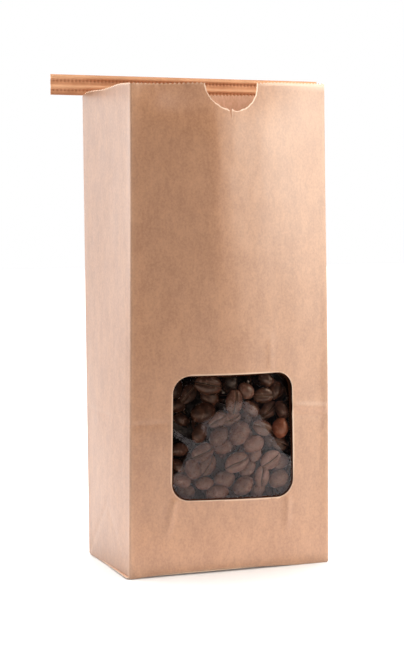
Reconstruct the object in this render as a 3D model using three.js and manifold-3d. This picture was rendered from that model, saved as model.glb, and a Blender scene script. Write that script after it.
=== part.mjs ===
// A kraft paper coffee bag: an open block-bottom bag with a clear window, a bendable tie along the back of
// its mouth, and roasted beans inside. Millimetres, +Z up, the window faces -Y, and the origin is on the
// ground under the middle of the bag's base.
import * as THREE from "three";
import { mergeVertices } from "three/addons/utils/BufferGeometryUtils.js";
import Module from "manifold-3d";

const wasm = await Module();
wasm.setup();

// Driving dimensions
const BAG_DEPTH = 64;
const BACK_WIDTH = 108.4;
const BACK_LEAN = 2; // how far the back panel's top leans to the left
const RIM_HEIGHT = 243.2; // at the middle of the front
const RIM_TILT = 1.5; // the front's right corner stands this much above its left corner
const RIM_BACK_DROP = 0.7; // the back's rim is this much lower than the front's
const PAPER = 0.8; // wall of the solid, thicker than real kraft paper
const FLOOR = 1.4; // folded layers of the base
const GAP = 0.3; // clearance between neighbouring pieces

// Panel shapes, as [height, size] stations that a smooth curve joins
const FRONT_HALF_WIDTH = [[0, 53.8], [75, 53.1], [135, 52.4], [192, 51.6], [243, 51.3]];
const FRONT_BOW = [[0, 1], [50, 6], [90, 8.6], [133, 11.5], [165, 13.4], [205, 14.2], [243, 10.5]];
const BACK_BOW = [[0, 0.2], [90, 1.6], [200, 0.4], [243, 0]];
const GUSSET_DENT = [[0, 0], [32, -0.4], [90, -1], [150, 0.5], [243, 2.4]];
const RIDGE_ROUND = 0.3; // share of the half width over which the front's ridge is rounded

// Pinked rim, thumb notch and window
const TOOTH_PITCH = 2;
const TOOTH_DEPTH = 0.8;
const NOTCH_X = -2.3;
const NOTCH_RADIUS = 13.9;
const WINDOW_WIDTH = 63;
const WINDOW_HEIGHT = 62;
const WINDOW_CORNER = 9;
const WINDOW_MIDDLE = [0.3, 69.2]; // x and z

// Clear film glued behind the window
const FILM = 0.4;
const FILM_LAP = 8; // how far it reaches past the window's edge
const FILM_CORNER = 1;

// Tie: a flat strip with two wire ridges, fixed behind the back panel's rim
const TIE_LENGTH = 150.2;
const TIE_X = 1.6;
const TIE_BOTTOM = 241.6;
const TIE_HEIGHT = 9.6;
const TIE_WEB = 0.5;
const TIE_RIDGE = 0.45; // how far a wire stands proud of the web
const TIE_RIDGE_WIDTH = 2.6;
const TIE_RIDGE_HEIGHTS = [0.42, 0.83]; // shares of the strip's height

// Beans
const FILL_HEIGHT = 143;
const BEAN_HALF_LENGTH = 6;
const BEAN_HALF_WIDTH = 4.6;
const BEAN_HALF_THICKNESS = 3.5;
const BEAN_AROUND = 6;
const BEAN_ALONG = 4;
const BEAN_SPREAD = 0.12; // share by which a bean's size varies
const BEAN_PITCH = 9.6; // between neighbours in a row
const ROW_PITCH = 8.4; // between rows
const WINDOW_ROWS = 9;
const WINDOW_COLUMNS = 9;
const TOP_ROWS = 9;
const TOP_COLUMNS = 11;
const BEAN_STRAY = 1.2; // how far a bean strays from its place in the row
const BEAN_TILT = 0.25; // radians, at the window
const TOP_TILT = 0.5; // radians, on top
const BEAN_SINK = 4.2; // the core lies this far behind the beans' outermost points
const CORE_CLEARANCE = 1; // between the core and the paper
const BEANS_SEED = 7;

// Mesh steps round and up the bag
const FRONT_STEPS = 20;
const GUSSET_STEPS = 6;
const BACK_STEPS = 8;
const NOTCH_SEGMENTS = 14;
const CORNER_SEGMENTS = 6;
const TIE_SAMPLES = 40;
const WALL_HEIGHTS = [0, 14, 32, 60, 90, 115, 140, 165, 190, 210, 228, 243, 250];

const { lerp, seededRandom, clamp } = THREE.MathUtils;
const HALF_DEPTH = BAG_DEPTH / 2;

// Reach of the cutting shapes past the paper that they cut
const CUT_OVER = 20;
const FRONT_CUT = [-HALF_DEPTH - 30, -HALF_DEPTH + 5];
const BACK_CUT = [HALF_DEPTH - 2, HALF_DEPTH + 10];
const GUSSET_CUT = [FRONT_HALF_WIDTH.at(-1)[1] - 8, BACK_WIDTH / 2 + 6];

// A smooth value along the height, through the given stations.
function along(stations) {
  const heights = stations.map(([height]) => height);
  const sizes = stations.map(([, size]) => size);
  const curve = new THREE.CubicInterpolant(heights, sizes, 1);
  return (z) => curve.evaluate(clamp(z, heights[0], heights.at(-1)))[0];
}

const frontHalfWidth = along(FRONT_HALF_WIDTH);
const frontBow = along(FRONT_BOW);
const backBow = along(BACK_BOW);
const gussetDent = along(GUSSET_DENT);

// The front bows out to a rounded ridge down its middle, with nearly flat stretches on either side.
function ridge(across) {
  const edge = Math.hypot(1, RIDGE_ROUND);
  return (edge - Math.hypot(across, RIDGE_ROUND)) / (edge - RIDGE_ROUND);
}

function frontY(x, z) {
  const across = clamp(x / frontHalfWidth(z), -1, 1);
  return -HALF_DEPTH - frontBow(z) * ridge(across);
}

function backX(across, z) {
  return (across * BACK_WIDTH) / 2 - (BACK_LEAN * z) / RIM_HEIGHT;
}

function backY(across, z) {
  return HALF_DEPTH + backBow(z) * (1 - across * across);
}

function rimHeight(x, y) {
  const towardsBack = (y + HALF_DEPTH) / BAG_DEPTH;
  return RIM_HEIGHT + (RIM_TILT * x) / BACK_WIDTH - RIM_BACK_DROP * clamp(towardsBack, 0, 1);
}

// The bag's outline at one height, moved inwards by the insets. It runs counter-clockwise, seen from above,
// from the front's left corner.
function outline(z, { front = 0, side = 0, back = 0 } = {}) {
  const points = [];
  const half = frontHalfWidth(z);
  const gusset = (handed, step) => {
    const t = step / GUSSET_STEPS;
    const dent = gussetDent(z) * (1 - Math.abs(2 * t - 1));
    const x = lerp(handed * half, backX(handed, z), t) - handed * (dent + side);
    return new THREE.Vector3(x, lerp(front - HALF_DEPTH, HALF_DEPTH - back, t), z);
  };
  for (let step = 0; step < FRONT_STEPS; step++) {
    const across = (2 * step) / FRONT_STEPS - 1;
    points.push(new THREE.Vector3(across * (half - side), frontY(across * half, z) + front, z));
  }
  for (let step = 0; step < GUSSET_STEPS; step++) points.push(gusset(1, step));
  for (let step = 0; step < BACK_STEPS; step++) {
    const across = 1 - (2 * step) / BACK_STEPS;
    points.push(new THREE.Vector3(backX(across, z) - across * side, backY(across, z) - back, z));
  }
  for (let step = GUSSET_STEPS; step > 0; step--) points.push(gusset(-1, step));
  return points;
}

// A closed body through a stack of outlines, with a fan of triangles over each end.
function lofted(outlines) {
  const count = outlines[0].length;
  const middle = (points) =>
    points.reduce((sum, point) => sum.add(point), new THREE.Vector3()).divideScalar(count);
  const corners = [...outlines.flat(), middle(outlines[0]), middle(outlines.at(-1))];
  const lowMiddle = corners.length - 2;
  const highMiddle = corners.length - 1;
  const triangles = [];
  const top = (outlines.length - 1) * count;
  for (let i = 0; i < count; i++) {
    const next = (i + 1) % count;
    for (let base = 0; base < top; base += count) {
      triangles.push(base + i, base + next, base + count + next);
      triangles.push(base + i, base + count + next, base + count + i);
    }
    triangles.push(lowMiddle, next, i);
    triangles.push(highMiddle, top + i, top + next);
  }
  return new THREE.BufferGeometry().setFromPoints(corners).setIndex(triangles);
}

// Joining and cutting
function solidOf(geometry) {
  const bare = geometry.clone();
  bare.deleteAttribute("normal");
  bare.deleteAttribute("uv");
  const merged = mergeVertices(bare, 1e-4);
  return new wasm.Manifold(
    new wasm.Mesh({
      numProp: 3,
      vertProperties: new Float32Array(merged.attributes.position.array),
      triVerts: new Uint32Array(merged.index.array),
    }),
  );
}

function geometryOf(solid) {
  const { vertProperties, triVerts } = solid.getMesh();
  const geometry = new THREE.BufferGeometry();
  geometry.setAttribute("position", new THREE.BufferAttribute(vertProperties, 3));
  geometry.setIndex(new THREE.BufferAttribute(triVerts, 1));
  geometry.computeVertexNormals();
  return geometry;
}

// A flat shape drawn in x and z, extruded from one depth to another along y.
function extrudedAlongY(shape, fromY, toY, curveSegments) {
  const geometry = new THREE.ExtrudeGeometry(shape, {
    depth: toY - fromY,
    bevelEnabled: false,
    curveSegments,
  });
  return geometry.rotateX(Math.PI / 2).translate(0, toY, 0);
}

// A flat shape drawn in y and z, extruded from one place to another along x.
function extrudedAlongX(shape, fromX, toX) {
  const geometry = new THREE.ExtrudeGeometry(shape, { depth: toX - fromX, bevelEnabled: false });
  return geometry.rotateX(Math.PI / 2).rotateZ(Math.PI / 2).translate(fromX, 0, 0);
}

// Everything above a pinked edge, whose teeth follow the given height.
function pinkedShape(from, to, heightAt) {
  const above = RIM_HEIGHT + CUT_OVER;
  const shape = new THREE.Shape().moveTo(to, above).lineTo(from, above);
  const halfTeeth = Math.round((to - from) / (TOOTH_PITCH / 2));
  for (let i = 0; i <= halfTeeth; i++) {
    const place = lerp(from, to, i / halfTeeth);
    shape.lineTo(place, heightAt(place) - (i % 2 ? TOOTH_DEPTH : 0));
  }
  return shape;
}

function roundedRectangle([middleX, middleZ], width, height, radius) {
  const right = middleX + width / 2 - radius;
  const left = middleX - width / 2 + radius;
  const top = middleZ + height / 2 - radius;
  const bottom = middleZ - height / 2 + radius;
  const turn = Math.PI / 2;
  return new THREE.Shape()
    .absarc(right, bottom, radius, -turn, 0)
    .absarc(right, top, radius, 0, turn)
    .absarc(left, top, radius, turn, 2 * turn)
    .absarc(left, bottom, radius, 2 * turn, 3 * turn);
}

// Paper bag: folded walls and base in one piece, cut by the pinked rim, the notch and the window.
function paperBag() {
  const outside = lofted(WALL_HEIGHTS.map((z) => outline(z)));
  const inset = { front: PAPER, side: PAPER, back: PAPER };
  const insideHeights = [FLOOR, ...WALL_HEIGHTS.slice(1), WALL_HEIGHTS.at(-1) + CUT_OVER];
  const inside = lofted(insideHeights.map((z) => outline(z, inset)));

  const [gussetInner, gussetOuter] = GUSSET_CUT;
  const overFront = pinkedShape(-gussetOuter, gussetOuter, (x) => rimHeight(x, -HALF_DEPTH));
  const overBack = pinkedShape(-gussetOuter, gussetOuter, (x) => rimHeight(x, HALF_DEPTH));
  const overGusset = (x) => pinkedShape(-HALF_DEPTH, HALF_DEPTH, (y) => rimHeight(x, y));
  const rimTop = rimHeight(NOTCH_X, -HALF_DEPTH);
  const notch = new THREE.Shape()
    .absarc(NOTCH_X, rimTop, NOTCH_RADIUS, Math.PI, 2 * Math.PI)
    .lineTo(NOTCH_X + NOTCH_RADIUS, rimTop + CUT_OVER)
    .lineTo(NOTCH_X - NOTCH_RADIUS, rimTop + CUT_OVER);
  const window = roundedRectangle(WINDOW_MIDDLE, WINDOW_WIDTH, WINDOW_HEIGHT, WINDOW_CORNER);
  const cuts = [
    inside,
    extrudedAlongY(overFront, ...FRONT_CUT),
    extrudedAlongY(overBack, ...BACK_CUT),
    extrudedAlongX(overGusset(-gussetOuter), -gussetOuter, -gussetInner),
    extrudedAlongX(overGusset(gussetOuter), gussetInner, gussetOuter),
    extrudedAlongY(notch, ...FRONT_CUT, NOTCH_SEGMENTS),
    extrudedAlongY(window, ...FRONT_CUT, CORNER_SEGMENTS),
  ];
  return geometryOf(cuts.reduce((bag, cut) => bag.subtract(solidOf(cut)), solidOf(outside)));
}

// Window film: a thin sheet that follows the inside of the front panel.
function windowFilm() {
  const heights = WALL_HEIGHTS.filter((z) => z < FILL_HEIGHT);
  const layer = (front) =>
    solidOf(lofted(heights.map((z) => outline(z, { front, side: PAPER, back: PAPER }))));
  const width = WINDOW_WIDTH + 2 * FILM_LAP;
  const height = WINDOW_HEIGHT + 2 * FILM_LAP;
  const sheet = roundedRectangle(WINDOW_MIDDLE, width, height, FILM_CORNER);
  const film = layer(PAPER + GAP)
    .subtract(layer(PAPER + GAP + FILM))
    .intersect(solidOf(extrudedAlongY(sheet, ...FRONT_CUT, CORNER_SEGMENTS)));
  return geometryOf(film);
}

// Tie: one section drawn in y and z, with a wire ridge bulging from both faces at two heights.
function tinTie() {
  const face = TIE_WEB / 2;
  const ridgeShare = TIE_RIDGE_WIDTH / TIE_HEIGHT / 2;
  const proud = (share) => {
    const nearest = Math.min(...TIE_RIDGE_HEIGHTS.map((height) => Math.abs(share - height)));
    const across = Math.min(nearest / ridgeShare, 1);
    return face + (TIE_RIDGE * (1 + Math.cos(Math.PI * across))) / 2;
  };
  const shares = Array.from({ length: TIE_SAMPLES + 1 }, (_, i) => i / TIE_SAMPLES);
  const section = (handed) =>
    shares.map((share) => new THREE.Vector2(handed * proud(share), TIE_BOTTOM + share * TIE_HEIGHT));
  const shape = new THREE.Shape([...section(1), ...section(-1).reverse()]);
  const strip = extrudedAlongX(shape, TIE_X - TIE_LENGTH / 2, TIE_X + TIE_LENGTH / 2);
  const thickest = face + TIE_RIDGE;
  return strip.translate(0, backY(0, RIM_HEIGHT) + GAP + thickest, 0);
}

// Beans: a core that fills the bag behind the window, with beans fused on where they show.
seededRandom(BEANS_SEED);
const draw = (low, high) => lerp(low, high, seededRandom());
const stray = () => draw(-BEAN_STRAY, BEAN_STRAY);

function bean(turn) {
  const size = draw(1 - BEAN_SPREAD, 1 + BEAN_SPREAD);
  const half = new THREE.Vector3(BEAN_HALF_LENGTH, BEAN_HALF_WIDTH, BEAN_HALF_THICKNESS);
  const geometry = new THREE.SphereGeometry(1, BEAN_AROUND, BEAN_ALONG);
  geometry.rotateZ(Math.PI / 2).scale(...half.multiplyScalar(size));
  geometry.applyQuaternion(new THREE.Quaternion().setFromEuler(turn));
  geometry.computeBoundingBox();
  return geometry;
}

// Staggered places in rows, counted from the middle.
function places(rows, columns) {
  const found = [];
  for (let row = 0; row < rows; row++) {
    for (let column = 0; column < columns; column++) {
      const stagger = row % 2 ? BEAN_PITCH / 2 : 0;
      const across = (column - (columns - 1) / 2) * BEAN_PITCH + stagger;
      found.push([across + stray(), (row - (rows - 1) / 2) * ROW_PITCH + stray()]);
    }
  }
  return found;
}

function beansAtWindow() {
  const [middleX, middleZ] = WINDOW_MIDDLE;
  const behindFilm = PAPER + FILM + 2 * GAP;
  return places(WINDOW_ROWS, WINDOW_COLUMNS).map(([across, up]) => {
    const x = middleX + across;
    const z = middleZ + up;
    const geometry = bean(new THREE.Euler(Math.PI / 2, draw(0, Math.PI), draw(-BEAN_TILT, BEAN_TILT)));
    const { min, max } = geometry.boundingBox;
    const corners = [min.x, max.x].flatMap((dx) => [min.z, max.z].map((dz) => [x + dx, z + dz]));
    const innermost = Math.max(...corners.map(([cornerX, cornerZ]) => frontY(cornerX, cornerZ)));
    return geometry.translate(x, innermost + behindFilm - min.y + draw(0, BEAN_STRAY), z);
  });
}

function beansOnTop() {
  const room = BEAN_HALF_LENGTH * (1 + BEAN_SPREAD) + PAPER + GAP;
  const beans = [];
  for (const [x, y] of places(TOP_ROWS, TOP_COLUMNS)) {
    const turn = new THREE.Euler(draw(-TOP_TILT, TOP_TILT), draw(-TOP_TILT, TOP_TILT), draw(0, Math.PI));
    const z = FILL_HEIGHT - BEAN_SINK + stray();
    const betweenGussets = Math.abs(x) < frontHalfWidth(z) - room;
    const betweenPanels = y > frontY(x, z) + room && y < HALF_DEPTH - room;
    if (betweenGussets && betweenPanels) beans.push(bean(turn).translate(x, y, z));
  }
  return beans;
}

function coffeeBeans() {
  const inset = {
    front: PAPER + FILM + 2 * GAP + BEAN_SINK,
    side: PAPER + CORE_CLEARANCE,
    back: PAPER + CORE_CLEARANCE,
  };
  const coreTop = FILL_HEIGHT - BEAN_SINK;
  const coreHeights = [FLOOR + GAP, ...WALL_HEIGHTS.filter((z) => z > FLOOR && z < coreTop), coreTop];
  let heap = solidOf(lofted(coreHeights.map((z) => outline(z, inset))));
  for (const geometry of [...beansAtWindow(), ...beansOnTop()]) heap = heap.add(solidOf(geometry));
  const [largest] = heap.decompose().sort((a, b) => b.volume() - a.volume());
  return geometryOf(largest);
}

// Scene graph
function piece(name, geometry, material) {
  const mesh = new THREE.Mesh(geometry, new THREE.MeshStandardMaterial(material));
  mesh.name = name;
  return mesh;
}

const coffeeBag = new THREE.Group();
coffeeBag.add(
  piece("paper_bag", paperBag(), { color: 0xd8ae8e, roughness: 0.85, metalness: 0 }),
  piece("window_film", windowFilm(), {
    color: 0xe6e8ea,
    roughness: 0.1,
    metalness: 0,
    transparent: true,
    opacity: 0.25,
  }),
  piece("tin_tie", tinTie(), { color: 0xcf8a5c, roughness: 0.45, metalness: 0.3 }),
  piece("coffee_beans", coffeeBeans(), { color: 0x3a251c, roughness: 0.4, metalness: 0 }),
);

export default coffeeBag;
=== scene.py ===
"""The looks of a kraft paper coffee bag: folded paper, clear window film, copper tie and roasted beans."""

import math
import random

import bmesh
import bpy
from mathutils import Euler, Matrix, Quaternion, Vector, noise


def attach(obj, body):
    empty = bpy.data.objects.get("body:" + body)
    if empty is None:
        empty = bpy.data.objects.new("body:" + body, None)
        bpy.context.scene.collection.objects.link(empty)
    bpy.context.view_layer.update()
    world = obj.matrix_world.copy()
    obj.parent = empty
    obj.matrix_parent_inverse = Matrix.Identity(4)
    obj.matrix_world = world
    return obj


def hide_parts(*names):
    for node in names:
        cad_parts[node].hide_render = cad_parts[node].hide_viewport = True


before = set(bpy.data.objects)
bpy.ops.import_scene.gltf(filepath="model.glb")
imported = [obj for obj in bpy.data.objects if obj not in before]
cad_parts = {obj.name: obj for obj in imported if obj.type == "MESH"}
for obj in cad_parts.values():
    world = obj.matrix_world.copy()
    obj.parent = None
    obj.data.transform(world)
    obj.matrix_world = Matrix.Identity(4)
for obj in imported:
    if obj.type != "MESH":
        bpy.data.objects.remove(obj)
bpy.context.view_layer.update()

# Sizes are in millimetres until a piece is finished, and the camera's and lamps' are in metres
MM = 0.001
BAG_DEPTH = 64
HALF_DEPTH = BAG_DEPTH / 2
BACK_WIDTH = 110.8
BACK_LEAN = 1.6
RIM_HEIGHT = 243.2
RIM_TILT = 1.5
RIM_BACK_DROP = 0.7
FRONT_HALF_WIDTH = [(0, 54), (75, 53.4), (135, 52.7), (192, 51.9), (243, 51.5)]
FRONT_BOW = [(0, 1), (50, 6), (90, 8.6), (133, 11.5), (165, 13.4), (205, 14.2), (224, 13.2), (243, 8.5)]
BACK_BOW = [(0, 0.2), (90, 1.6), (200, 0.4), (243, 0)]
GUSSET_DENT = [(0, 0), (32, -0.4), (90, -1), (150, 0.5), (243, 1)]
# The front sways a little to the right, and its ridge has a crest, a rounding and a fuller right side
FRONT_SWAY = [(0, 0.6), (110, 0.8), (243, 0.1)]
RIDGE_CREST = [(0, 0), (90, 0), (130, -0.1), (170, -0.18), (215, -0.215), (243, -0.235)]
RIDGE_ROUND = [(0, 0.45), (90, 0.35), (150, 0.2), (243, 0.09)]
RIDGE_BELLY = [(0, 0), (90, 0), (150, 0.4), (200, 0.65), (243, 0.8)]
# A soft upright fold right of the crest: its height, and where it rises and fades across and up the front
SOFT_FOLD = 0.4
SOFT_FOLD_ACROSS = (-2, 16, 50)
SOFT_FOLD_UP = (125, 180, 200, 243)
# The front is pressed in beside its upright folds, which leaves a low lip: height up the bag, and depth
FOLD_LIP = [(0, 0.1), (30, 0.25), (70, 0.4), (130, 0.4), (165, 0.25), (200, 0.12), (230, 0.3), (243, 0.3)]

# Paper
PAPER = 0.3
FOLD_RADIUS = 0.8
SHARP_FROM = 55
BASE_ROUND = 0.6
# The front's foot is lifted off the ground: how far, where on its right that ends, and up to what height
FOOT_LIFT = 1.3
FOOT_LIFT_END = 0.85
FOOT_LIFT_FADE = 12
TOOTH_DEPTH = 0.8
NOTCH_X = -2.3
NOTCH_RADIUS = 13.9
NOTCH_STEPS = 30
# The notch lies above this height, and the window below it
NOTCH_FROM = 200
WINDOW_WIDTH = 63.8
WINDOW_HEIGHT = 62.4
WINDOW_CORNER = 9
CORNER_STEPS = 9
WINDOW_MIDDLE = (-0.8, 69)
WINDOW_SKEW = 1.3
# Pale rings round the window and the notch, and how worn they are; the notch's ring is also a painted
# highlight where its cut edge catches the light
PALE_WINDOW = (0.4, 1.0)
PALE_NOTCH = (0.35, 0.8)
WINDOW_WEAR = 0.55
NOTCH_WEAR_AND_HIGHLIGHT = 0.85
# The front's rim is lifted on its right, and curls in on its left
RIM_LIFT = 0.7
RIM_CURL = 3
# Bumps of the rim: place on the unrolled sheet, spread and height
RIM_BUMPS = [(1.27, 0.18, 0.85), (1.8, 0.12, 0.5), (2, 0.05, -1.0)]
# Soft waves of the paper: height, length across, length up, and a layer of the noise
PAPER_WAVES = [(0.45, 38, 55, 1.7), (0.14, 13, 19, 5.1), (0.05, 4, 7, 9.3)]
# The notch looks torn by hand: a wobbling edge, a tuft of paper left standing and a small tear
NOTCH_WOBBLE = 0.5
TUFT = 0.8
TUFT_X = -3.4
TUFT_SPREAD = 0.6
TEAR = [(-4, 224.6), (-3.5, 229.9), (-4.9, 229.9)]
FRONT_COLUMNS = 104
GUSSET_COLUMNS = 64
BACK_COLUMNS = 54
LAP_COLUMNS = 12
LAP_LIFT = 0.5
LAP_RISE = (2.97, 3.03)
# How pale the paper has worn, from 0 to 1; along the rim this is also a painted highlight on the lit teeth
LAP_WEAR = 0.45
BASE_FOLD_WEAR = 0.1
CORNER_WEAR = 0.14
FOOT_WEAR = 0.2
RIM_WEAR_AND_HIGHLIGHT = 0.6
# Widths that the front and gussets are taken to have when their folds and wear are placed, and the back's
RELIEF_SPANS = (50, 64)
WEAR_SPANS = (52, 52)
BACK_SPAN = 60
# Folds pressed into the gussets: the base's slanting ones, and a crease across
BASE_FOLD = 0.3
GUSSET_CREASE = 0.25
GUSSET_CREASE_HEIGHT = 78
GUSSET_CREASE_SLOPE = 0.02
# Rows of the sheet: closest at the foot, close at the creases, and wide elsewhere
FOOT_ROW = 0.5
CREASE_ROW = 0.9
WIDE_ROW = 2.4
RIM_ROW = 1.4
CREASE_ROWS_AT = 80
# The base sheet, and the flaps under it: side and height
BASE_INSET = 0.7
BASE_HEIGHT = 0.95
BASE_STEPS = (40, 24)
FLAPS = [(-1, 0.62), (1, 0.31)]
FLAP_STEPS = (40, 12)
FLAP_DEPTH = 40
FLAP_MITRE = 24

# Creases on the front: start, end, half width and height
CREASES = [
    ((33, 82.2), (54, 80.2), 2.1, 0.42),
    ((33, 78.5), (54, 76.5), 2.2, -0.25),
    ((-54, 76), (-36, 77), 1.5, -0.14),
    ((29.6, 35), (29.2, 22), 1.8, 0.6),
    ((-31.4, 37), (-34.4, 23), 1.7, 0.6),
    ((17.7, 116), (17.7, 103), 2.0, 0.3),
    ((-39.2, 243), (-39.2, 237.6), 0.7, 0.4),
    ((-53.5, 9), (-49.5, 1), 1.2, 0.35),
]

# Film
FILM = 0.12
FILM_LAP = 8
FILM_STEPS = 150
FILM_TILT = 0.08
FILM_FOLD = 0.7
# Width of a dark ring just inside the window: painted shadow of the gap between paper and beans
GAP_SHADE_RIM = 0.8
# The film is creased where it leaves the beans: height of that crease across the window
FILM_CREASE = [
    (-32.5, 49), (-27.5, 56), (-24, 64), (-22.5, 74), (-16, 84), (-8, 90), (2.5, 89), (8, 86), (11.5, 81),
    (16, 73), (19.5, 67), (24.5, 60), (32, 56),
]
CREASE_WOBBLE = 1.5
FILM_WRINKLE = ((-33, 76), (-20, 66.5))
WRINKLE_HEIGHT = 0.55
WRINKLE_SPREAD = 3.2
FILM_GAP = 0.12
MARGIN_DEPTH = 0.8

# Tie
TIE_LENGTH = 150.2
TIE_X = 1.6
TIE_BOTTOM = 240.8
TIE_HEIGHT = 10.5
TIE_THICKNESS = 0.45
TIE_GAP = 0.6
TIE_ROWS = 30
# Wires and crimped rows: share of the way down the tie, and half width
TIE_WIRES = [(0.13, 0.11), (0.61, 0.09)]
TIE_CRIMPS = [(0.30, 0.07), (0.77, 0.055)]
WIRE_BUMP = 0.42
CRIMP_DEPTH = 0.3
CRIMP_LEAST = 0.3
# How dark the painted shade along the tie's lower edge is, as a share
HEM_SHADE = 0.45
TOOTH_PITCH = 2

# Beans
FILL_HEIGHT = 143
BEAN_LENGTH = (10, 12.5)
BEAN_WIDTH_SHARE = (0.74, 0.86)
BEAN_FLATNESS = 0.62
BEAN_WRINKLE = 0.45
# The flatter face of a bean, and the width, depth and sway of the crease in it, on a bean 2 long
BEAN_FACE = 0.55
SEAM_WIDTH = 0.13
SEAM_DEPTH = 0.34
SEAM_SWAY = 0.10
# How near beans lie to one another and how deep they nest, as shares of round balls
NEST_REACH = 0.86
NEST_DEPTH = 0.75
BEANS_SEED = 11
# Beans at the window, and how much paler they are painted below the film's crease: painted light, as the
# lower beans lie in more light than the upper ones
WINDOW_TILT = 14
WINDOW_ROAST = (0.12, 0.34)
WINDOW_PAINTED_LIGHT = 0.3
# Loose beans behind those, painted nearly black as shade, and paler below the film's crease as painted
# light
BEHIND_TRIES = 900
BEHIND_ACROSS = 42
BEHIND_UP = 40
BEHIND_DEPTH = 14
BEHIND_CREASED = 0.4
BEHIND_PAINTED_SHADE_TONE = (0, 0.15)
BEHIND_PAINTED_LIGHT = 0.22
# Layers of beans on top of the heap
TOP_LAYERS = 4
TOP_TRIES = 500
TOP_ACROSS = (-50, 50)
TOP_DEEP = (-44, 31)
TOP_CREASED = 0.45
TOP_ROAST = (0.2, 0.5)
TOP_HOLLOW = 1.8
LAYER_DROP = 4.6
# The core behind the beans that show
CORE_GAP = 22
CORE_INSET = 1.6
CORE_CUTS = 14

# Beans that lie against the window: place across and up, length, and turn in degrees
BEANS_BACK_OUT = [
    (-28, 93, 12, 80), (-26, 84, 11, 0), (-15, 81, 14, 15), (-10, 88, 11, -25), (8, 91, 10, -45),
    (20, 96, 10, -30), (26, 90, 11, 70), (31, 88, 10, 75), (29, 80, 11, -65), (28, 71, 11, 85),
    (20, 76, 10, 10), (10, 82, 11, -40), (-17, 71, 11, 60), (-7, 69, 12, 50), (4, 70, 13.5, 60),
    (-3, 63, 11, 20), (12, 64, 12, 15), (-27, 63, 10, 0), (14, 58, 9, 60), (24, 65, 9, 80),
    (-20, 53, 11, -60), (-27, 55, 9, -50), (-25, 47, 11, -20), (-13, 45, 10, 0), (-2, 46, 12, 10),
    (7, 43, 12, 35), (27, 45, 11.5, 30), (-7, 40, 13, 5), (-22, 40, 11, 5), (16, 40, 9.5, 60),
    (10, 51, 10, 40), (-23, 77, 10, -25), (29, 53, 10, 40), (-29, 77, 10, 60),
]
BEANS_CREASE_OUT = [
    (-12, 95, 15, -10), (-21, 90, 11.5, 50), (1, 86, 13.5, 85), (18, 88, 11.5, 0), (23, 80, 11, 40),
    (17, 72, 11, -25), (-7, 77, 10.5, 30), (1, 77, 10.5, 20), (-15, 61, 12.6, 25), (3, 55, 14, 25),
    (22, 55, 12, 35), (28, 63, 10, -20), (-11, 54, 11.5, 60), (17, 47, 11, 85),
]
# Beans among them with a roast of their own, by place
OWN_ROAST = {
    (28, 71): 0.9, (8, 91): 0.42, (-12, 95): 0.29, (-15, 81): 0.26, (-17, 71): 0.34, (-21, 90): 0.16,
}


def lerp(low, high, share):
    return low + (high - low) * share


def clamp(value, low, high):
    return min(max(value, low), high)


def ease(low, high, value):
    share = clamp((value - low) / (high - low), 0, 1)
    return share * share * (3 - 2 * share)


def bell(offset, spread):
    return math.exp(-((offset / spread) ** 2))


def along(stations):
    """A smooth value through stations of place and size."""

    def slope(i):
        low = stations[max(i - 1, 0)]
        high = stations[min(i + 1, len(stations) - 1)]
        return (high[1] - low[1]) / (high[0] - low[0])

    def size(place):
        place = clamp(place, stations[0][0], stations[-1][0])
        i = max(k for k, station in enumerate(stations[:-1]) if station[0] <= place)
        (low, before), (high, after) = stations[i], stations[i + 1]
        span = high - low
        t = (place - low) / span
        leaving = t * (1 - t) ** 2 * span * slope(i)
        arriving = t * t * (t - 1) * span * slope(i + 1)
        return lerp(before, after, t * t * (3 - 2 * t)) + leaving + arriving

    return size


front_half_width = along(FRONT_HALF_WIDTH)
front_bow = along(FRONT_BOW)
back_bow = along(BACK_BOW)
gusset_dent = along(GUSSET_DENT)
front_sway = along(FRONT_SWAY)
ridge_crest = along(RIDGE_CREST)
ridge_round = along(RIDGE_ROUND)
ridge_belly = along(RIDGE_BELLY)
fold_lip = along(FOLD_LIP)


def ridge(across, z):
    """Height of the front's rounded ridge, from 1 at its crest to 0 at the corners."""
    crest = ridge_crest(z)
    rounding = ridge_round(z)
    right = across > crest
    share = abs(across - crest) / (1 - crest if right else 1 + crest)
    fall = (math.hypot(share, rounding) - rounding) / (math.hypot(1, rounding) - rounding)
    return 1 - lerp(fall, share * share, ridge_belly(z) if right else 0)


def front_y(x, z):
    return -HALF_DEPTH - front_bow(z) * ridge(clamp(x / front_half_width(z), -1, 1), z)


def back_x(across, z):
    return across * BACK_WIDTH / 2 - BACK_LEAN * z / RIM_HEIGHT


def back_y(across, z):
    return HALF_DEPTH + back_bow(z) * (1 - across * across)


def rim_height(x, y):
    towards_back = clamp((y + HALF_DEPTH) / BAG_DEPTH, 0, 1)
    return RIM_HEIGHT + RIM_TILT * x / BACK_WIDTH - RIM_BACK_DROP * towards_back


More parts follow.
